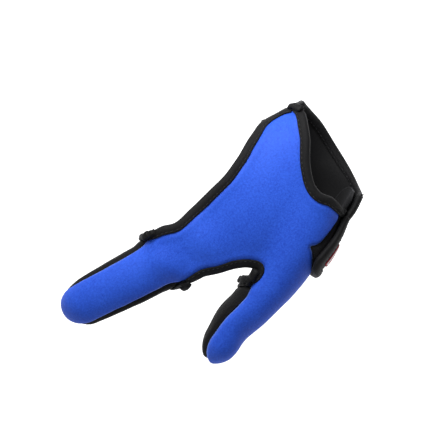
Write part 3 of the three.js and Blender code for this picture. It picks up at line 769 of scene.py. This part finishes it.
# Stitches: how far in from the edge they run, their pitch, the steps in a pitch, the bar's
# radius and sides, and its rings as lift above the tape and share of the radius
STITCH_LINE = 2.75
STITCH_PITCH = 2.7
STITCH_STEPS = 9
STITCH_RADIUS = 0.24
STITCH_SIDES = 6
STITCH_RINGS = (
    (-0.35, 0.6), (0, 0.95), (0.13, 1), (0.16, 1), (0.13, 1), (0, 0.95), (-0.35, 0.6),
)


def tape_sections(thickness):
    """The closed outline of a folded tape: in from the edge, level from the cloth's middle."""
    half = thickness / 2
    over = [(s, half + rise) for s, rise in OVER_ROWS]
    inside = [(s, half + rise) for s, rise in INSIDE_ROWS]
    outside = over + [(-FOLD, 0)] + [(s, -level) for s, level in reversed(over)]
    back = [(s, -level) for s, level in reversed(inside)] + [(-1.15, 0)] + inside
    return np.array(outside + back), len(outside)


def binding(name, line, level_of, thickness, seed, step=0.8):
    """A folded tape sewn over the edge of a cloth, along an open line."""
    line = spaced(line, step)
    normal = normal_at(line)
    inward = unit(np.cross(normal, tangents(line)))
    profile, outside = tape_sections(thickness)
    count, sides = len(line), len(profile)
    along = np.arange(count) * step
    wander = 0.16 * ripple(line, 9, seed)
    points = np.zeros((count, sides, 3))
    dimple = 0.6 + 0.4 * np.cos(2 * math.pi * along / STITCH_PITCH)
    base = level_of(line) + thickness / 2
    narrow = 1 - 0.28 * np.exp(-np.minimum(along, along[-1] - along) / 4)
    for k, (s, height) in enumerate(profile):
        across = settle(line + inward * (s * narrow + wander * (k < outside))[:, None], 2)
        sunk = 0.32 * dimple * math.exp(-((s - STITCH_LINE) / 0.55) ** 2) * (k < outside)
        puff = 0.09 * ripple(line + normal * s, 4.5, seed + 1) * (k < outside)
        rise = height - np.sign(height) * (sunk - puff)
        points[:, k] = across + normal_at(across) * (base + rise)[:, None]
    ring = np.arange(sides)
    a = (np.arange(count - 1)[:, None] * sides + ring).ravel()
    b = (np.arange(count - 1)[:, None] * sides + (ring + 1) % sides).ravel()
    quads = np.stack([a, b, b + sides, a + sides], 1)
    faces = quads.tolist()
    cap = cap_faces(outside, sides)
    faces += [[c, b2, a2] for a2, b2, c in cap]
    last = (count - 1) * sides
    faces += [[last + a2, last + b2, last + c] for a2, b2, c in cap]
    lengths = np.concatenate([[0], np.cumsum(np.linalg.norm(np.diff(profile, axis=0), axis=1))])
    cloth = np.zeros((count, sides, 3))
    cloth[:, :, 0] = along[:, None]
    cloth[:, :, 1] = lengths[None, :]
    return points.reshape(-1, 3), faces, cloth.reshape(-1, 3)


def cap_faces(outside, sides):
    """Triangles over the end of a tape, between its outside and its inside rows."""
    back = list(range(sides - 1, outside - 1, -1))
    front = list(range(outside))
    faces, i, j = [], 0, 0
    while i < len(front) - 1 or j < len(back) - 1:
        take_front = j == len(back) - 1 or (i + 1) * len(back) <= (j + 1) * len(front)
        if take_front and i < len(front) - 1:
            faces.append((front[i], front[i + 1], back[j]))
            i += 1
        else:
            faces.append((front[i], back[j + 1], back[j]))
            j += 1
    return faces


def stitch_rows(line, level_of, thickness, side):
    """Short bars of thread along a tape, sunk into it at both ends."""
    line = spaced(line, STITCH_PITCH / STITCH_STEPS)
    normal = normal_at(line)
    inward = unit(np.cross(normal, tangents(line)))
    seat = settle(line + inward * STITCH_LINE, 2)
    up = normal_at(seat)
    face = level_of(line) + thickness / 2 + side * (thickness / 2 + 0.72)
    seat = seat + up * face[:, None]
    points, faces, sides = [], [], STITCH_SIDES
    last = (len(STITCH_RINGS) - 1) * sides
    for start in range(STITCH_STEPS // 2, len(line) - STITCH_STEPS, STITCH_STEPS):
        base = len(points)
        for k, (lift, share) in enumerate(STITCH_RINGS, start):
            for n in range(sides):
                turn = 2 * math.pi * n / sides
                across = inward[k] * math.cos(turn) + up[k] * math.sin(turn)
                points.append(seat[k] + up[k] * lift * side + across * share * STITCH_RADIUS)
        for ring in range(base, base + last, sides):
            for n in range(sides):
                a, b = ring + n, ring + (n + 1) % sides
                faces.append([a, a + sides, b + sides, b])
        faces.append([base + n for n in range(sides)])
        faces.append([base + last + n for n in reversed(range(sides))])
    return np.array(points), faces


def mesh_from_parts(name, parts, materials):
    """One object from several meshes, each with its own material."""
    points = np.concatenate([p for p, _ in parts])
    faces, index, offset = [], [], 0
    for number, (p, f) in enumerate(parts):
        faces += [[v + offset for v in face] for face in f]
        index += [min(number, len(materials) - 1)] * len(f)
        offset += len(p)
    mesh = bpy.data.meshes.new(name)
    mesh.from_pydata((points * MM).tolist(), [], faces)
    for material in materials:
        mesh.materials.append(material)
    mesh.polygons.foreach_set("material_index", index)
    mesh.polygons.foreach_set("use_smooth", [True] * len(faces))
    piece = bpy.data.objects.new(name, mesh)
    bpy.context.scene.collection.objects.link(piece)
    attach(piece, "root")
    return piece


def on_skin(points):
    return np.zeros(len(points))


def folded_end(place, ahead, out, size, seed):
    """A tape's end folded back over itself into a small lump."""
    out = unit(out - ahead * (out @ ahead))
    side = np.cross(ahead, out)
    bends = np.linspace(-90, 90, 9)
    path = [(-1.5, -0.5), (-0.6, -0.5)]
    path += [(0.35 + 0.55 * math.cos(math.radians(t)), 0.5 * math.sin(math.radians(t)))
             for t in bends]
    path += [(-0.5, 0.55), (-1.2, 0.42), (-1.45, 0.2)]
    path = np.array(path) * size
    heading = unit(np.gradient(path, axis=0))
    ring = [(0.95, 0), (0.85, 0.6), (0.4, 1), (-0.4, 1), (-0.85, 0.6), (-0.95, 0),
            (-0.85, -0.6), (-0.4, -1), (0.4, -1), (0.85, -0.6)]
    points = []
    for (u, v), (hu, hv) in zip(path, heading):
        for across, thick in ring:
            w = across * size
            a, b = u - hv * thick * 0.42 * size, v + hu * thick * 0.42 * size
            points.append(place + ahead * a + out * (b + 0.5 * size) + side * w)
    points = np.array(points)
    points += unit(points - place) * (ripple(points, 1.6, seed) * 0.16 * size)[:, None]
    count, sides = len(path), len(ring)
    faces = []
    for k in range(count - 1):
        for n in range(sides):
            a, b = k * sides + n, k * sides + (n + 1) % sides
            faces.append([a, b, b + sides, a + sides])
    faces.append([n for n in reversed(range(sides))])
    faces.append([(count - 1) * sides + n for n in range(sides)])
    return points, faces


# Tufts of a frayed end: how many, their sides, and their rings as share of length and of width
TUFTS = 9
TUFT_SIDES = 5
TUFT_RINGS = ((0, 1), (0.35, 0.85), (0.7, 0.5), (1, 0.08))


def frayed_end(place, ahead, out, size, seed):
    """A few stiff tufts of thread and cut tape that stand out of an edge."""
    rng = np.random.default_rng(seed)
    out = unit(out - ahead * (out @ ahead))
    side = np.cross(ahead, out)
    points, faces, sides = [], [], TUFT_SIDES
    last = (len(TUFT_RINGS) - 1) * sides
    for n in range(TUFTS):
        root = place + ahead * (n - TUFTS // 2) * size * 0.42 - out * size * 0.5
        lean = unit(out + ahead * rng.uniform(-0.5, 0.5) + side * rng.uniform(-0.5, 0.5))
        length = size * rng.uniform(0.7, 1.35)
        first = len(points)
        for share, wide in TUFT_RINGS:
            for turn in range(sides):
                angle = 2 * math.pi * turn / sides
                spread = (ahead * math.cos(angle) + side * math.sin(angle)) * wide * size * 0.26
                points.append(root + lean * length * share + spread)
        for ring in range(first, first + last, sides):
            for turn in range(sides):
                a, b = ring + turn, ring + (turn + 1) % sides
                faces.append([a, b, b + sides, a + sides])
        faces.append([first + turn for turn in reversed(range(sides))])
        faces.append([first + last + turn for turn in range(sides)])
    return np.array(points), faces


# Lumps where tapes end: the tape, the kind, the line, how far along it in millimetres, which
# way along it the lump points, how far it is moved that way and outwards, and its size.
LUMPS = (
    ("outer_binding", folded_end, "outer", -0.5, 1, 0.5, 1.4, 2.3),
    ("outer_binding", folded_end, "outer", -3.5, 1, 0, 2.2, 1.9),
    ("index_mouth_binding", folded_end, "index_mouth", -2.5, 1, 0, 1.6, 2.2),
    ("web_binding", folded_end, "web", 0.5, -1, 2.5, 0.6, 2.2),
    ("web_binding", folded_end, "web", -1, 1, 0, 1.0, 2.4),
    ("thumb_mouth_binding", folded_end, "thumb_mouth", 3.5, -1, 1.5, 1.6, 2.4),
    ("thumb_mouth_binding", folded_end, "thumb_mouth", 6.5, -1, 1.0, 1.9, 2.0),
    ("outer_binding", folded_end, "outer", 1.5, -1, 0.5, 1.6, 2.0),
    ("wrist_binding", folded_end, "wrist", -2.5, 1, 0.5, 1.2, 2.3),
    ("wrist_binding", folded_end, "wrist", -0.5, 1, 1.5, 0.8, 1.8),
    ("web_binding", folded_end, "web", -5, 1, 0, 1.2, 2.6),
    ("strap_binding", frayed_end, "strap_end", 1.5, -1, 0, 5.4, 1.9),
)


def lumps_of(name):
    made = []
    for seed, (tape, kind, line_name, at, way, shift, rise, size) in enumerate(LUMPS):
        if tape != name:
            continue
        line = LINES[line_name]
        index = round(at / LINE_STEP) % len(line)
        tangent = tangents(line)[index] * way
        up = normal_at(line[index:index + 1])[0]
        place = line[index] + tangent * shift + up * (rise + NEOPRENE / 2)
        made.append(kind(place, tangent, up, size, 70 + seed))
    return made


def bound_edge(name, line, level_of, thickness, seed):
    points, faces, cloth = binding(name, line, level_of, thickness, seed)
    sewn = [stitch_rows(line, level_of, thickness, side) for side in (1, -1)]
    lumps = lumps_of(name)
    materials = [MATERIALS["binding"]] * (1 + len(lumps)) + [MATERIALS["thread"]] * len(sewn)
    piece = mesh_from_parts(name, [(points, faces)] + lumps + sewn, materials)
    layer = piece.data.attributes.new("cloth", "FLOAT_VECTOR", "POINT")
    padding = sum(len(p) for p, _ in lumps + sewn)
    data = np.concatenate([cloth, np.zeros((padding, 3))]).astype(np.float32)
    layer.data.foreach_set("vector", data.ravel())
    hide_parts(name)
    return piece


# Each tape: its line, the level of the cloth that it binds, that cloth's thickness, and a seed
BOUND_EDGES = (
    ("outer_binding", trimmed(LINES["outer"], 1.5, 0), on_skin, NEOPRENE, 41),
    ("index_mouth_binding", LINES["index_mouth"], on_skin, NEOPRENE, 43),
    ("web_binding", LINES["web"], on_skin, NEOPRENE, 45),
    ("thumb_mouth_binding", trimmed(joined(LINES["thumb_mouth"], LINES["wing_side"]), 0, 9),
     on_skin, NEOPRENE, 47),
    ("wrist_binding", trimmed(joined(LINES["patch_wrist"], LINES["wrist"]), 12, 0),
     on_skin, NEOPRENE, 49),
    ("strap_binding",
     trimmed(joined(LINES["strap_wrist"], LINES["strap_end"], LINES["strap_thumb"]), 12, 0.5),
     strap_level, STRAP_FABRIC, 51),
)
for row in BOUND_EDGES:
    bound_edge(*row)


# Patches squared to the strap's end
def rectangle(line, middle, size, margin):
    """A grid of points on the form, its rows running in from the line."""
    width, length = size
    columns, rows = (math.ceil(v / PATCH_CELL) for v in size)
    total = np.linalg.norm(np.diff(line, axis=0), axis=1).sum()
    at = (middle * total + np.linspace(-width / 2, width / 2, columns + 1)) / total
    p = np.stack([np.interp(at * (len(line) - 1), range(len(line)), line[:, k])
                  for k in range(3)], 1)
    centre = round(middle * (len(line) - 1))
    heading = np.cross(normal_at(line[centre:centre + 1]), line[centre + 1] - line[centre - 1])
    inward = np.repeat(heading, columns + 1, axis=0)
    grid = []
    for j in range(rows + 1):
        n = normal_at(p)
        inward = unit(inward - n * (inward * n).sum(1)[:, None])
        p = settle(p + inward * (margin if j == 0 else length / rows))
        grid.append(p)
    points = np.stack(grid, 1).reshape(-1, 3)
    i, j = np.meshgrid(np.arange(columns), np.arange(rows), indexing="ij")
    a = (i * (rows + 1) + j).ravel()
    b = a + rows + 1
    faces = np.concatenate([np.stack([a, b, b + 1], 1), np.stack([a, b + 1, a + 1], 1)])
    u, v = np.meshgrid(np.linspace(0, width, columns + 1), np.linspace(0, length, rows + 1),
                       indexing="ij")
    edge = np.minimum.reduce([u, width - u, v, length - v]).ravel()
    return points, faces, edge


def patch(name, middle, size, margin, low, thickness, materials):
    points, faces, edge = rectangle(LINES["strap_end"], middle, size, margin)
    base = low(points)
    rounded = thickness * pinch(edge, 0.8, 0.5)
    mesh, all_faces, inner = thicken(points, faces, base, base + rounded)
    piece = mesh_object(name, mesh, all_faces, materials, inner, edge=np.tile(edge, 2))
    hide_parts(name)
    return piece


patch("hook_patch", 0.44, HOOK_SIZE, 5.5,
      lambda p: np.full(len(p), LOOP_FABRIC + CLEARANCE), HOOK_FABRIC,
      [MATERIALS["hook"]])
patch("label", 0.6, LABEL_SIZE, 4.6,
      lambda p: strap_level(p) + STRAP_FABRIC + CLEARANCE, LABEL_THICKNESS,
      [MATERIALS["label"]])


# Camera, light and floor, in metres
VIEW_CENTRE = (-0.0722, 0.0086)
VIEW_WIDTH = 0.2457
VIEW_ROLL = 37
CAMERA_HEIGHT = 3.0
FLOOR_DROP = 0.16


def camera():
    data = bpy.data.cameras.new("camera")
    data.sensor_width = 36
    data.lens = data.sensor_width * CAMERA_HEIGHT / VIEW_WIDTH
    data.clip_end = 20
    eye = bpy.data.objects.new("camera", data)
    eye.location = (*VIEW_CENTRE, CAMERA_HEIGHT)
    eye.rotation_euler = (0, 0, -math.radians(VIEW_ROLL))
    bpy.context.scene.collection.objects.link(eye)
    bpy.context.scene.camera = eye


def area_light(name, place, size, power, colour=(1, 1, 1)):
    data = bpy.data.lights.new(name, "AREA")
    data.shape = "RECTANGLE"
    data.size, data.size_y = size
    data.energy = power
    data.color = colour
    light = bpy.data.objects.new(name, data)
    light.location = place
    target = Vector((*VIEW_CENTRE, 0))
    light.rotation_euler = (target - Vector(place)).to_track_quat("-Z", "Y").to_euler()
    light.visible_camera = False
    bpy.context.scene.collection.objects.link(light)


def floor():
    side = 6.0
    mesh = bpy.data.meshes.new("floor")
    corners = [(-side, -side, 0), (side, -side, 0), (side, side, 0), (-side, side, 0)]
    mesh.from_pydata(corners, [], [(0, 1, 2, 3)])
    plane = bpy.data.objects.new("floor", mesh)
    plane.location = (0, 0, -FLOOR_DROP)
    bpy.context.scene.collection.objects.link(plane)
    material = bpy.data.materials.new("pale_floor")
    material.use_nodes = True
    shader = material.node_tree.nodes["Principled BSDF"]
    shader.inputs["Base Color"].default_value = rgb(0.96, 0.96, 0.965)
    shader.inputs["Roughness"].default_value = 0.9
    shader.inputs["Emission Color"].default_value = rgb(1, 1, 1)
    shader.inputs["Emission Strength"].default_value = 0.7
    mesh.materials.append(material)


def world():
    made = bpy.data.worlds.new("studio")
    made.use_nodes = True
    background = made.node_tree.nodes["Background"]
    background.inputs["Color"].default_value = rgb(0.97, 0.98, 1)
    background.inputs["Strength"].default_value = 0.3
    bpy.context.scene.world = made


roll = math.radians(VIEW_ROLL)
PICTURE_UP = Vector((math.sin(roll), math.cos(roll), 0))
PICTURE_RIGHT = Vector((math.cos(roll), -math.sin(roll), 0))
camera()
floor()
world()
VIEW_FOOT = Vector((*VIEW_CENTRE, 0))
area_light("key", VIEW_FOOT + PICTURE_UP * 0.28 - PICTURE_RIGHT * 0.06 + Vector((0, 0, 0.28)),
           (0.25, 0.25), 2.25)
area_light("fill", VIEW_FOOT - PICTURE_UP * 0.6 - PICTURE_RIGHT * 0.6 + Vector((0, 0, 1.1)),
           (1.2, 1.2), 0.8)
bpy.context.scene.view_settings.view_transform = "Standard"
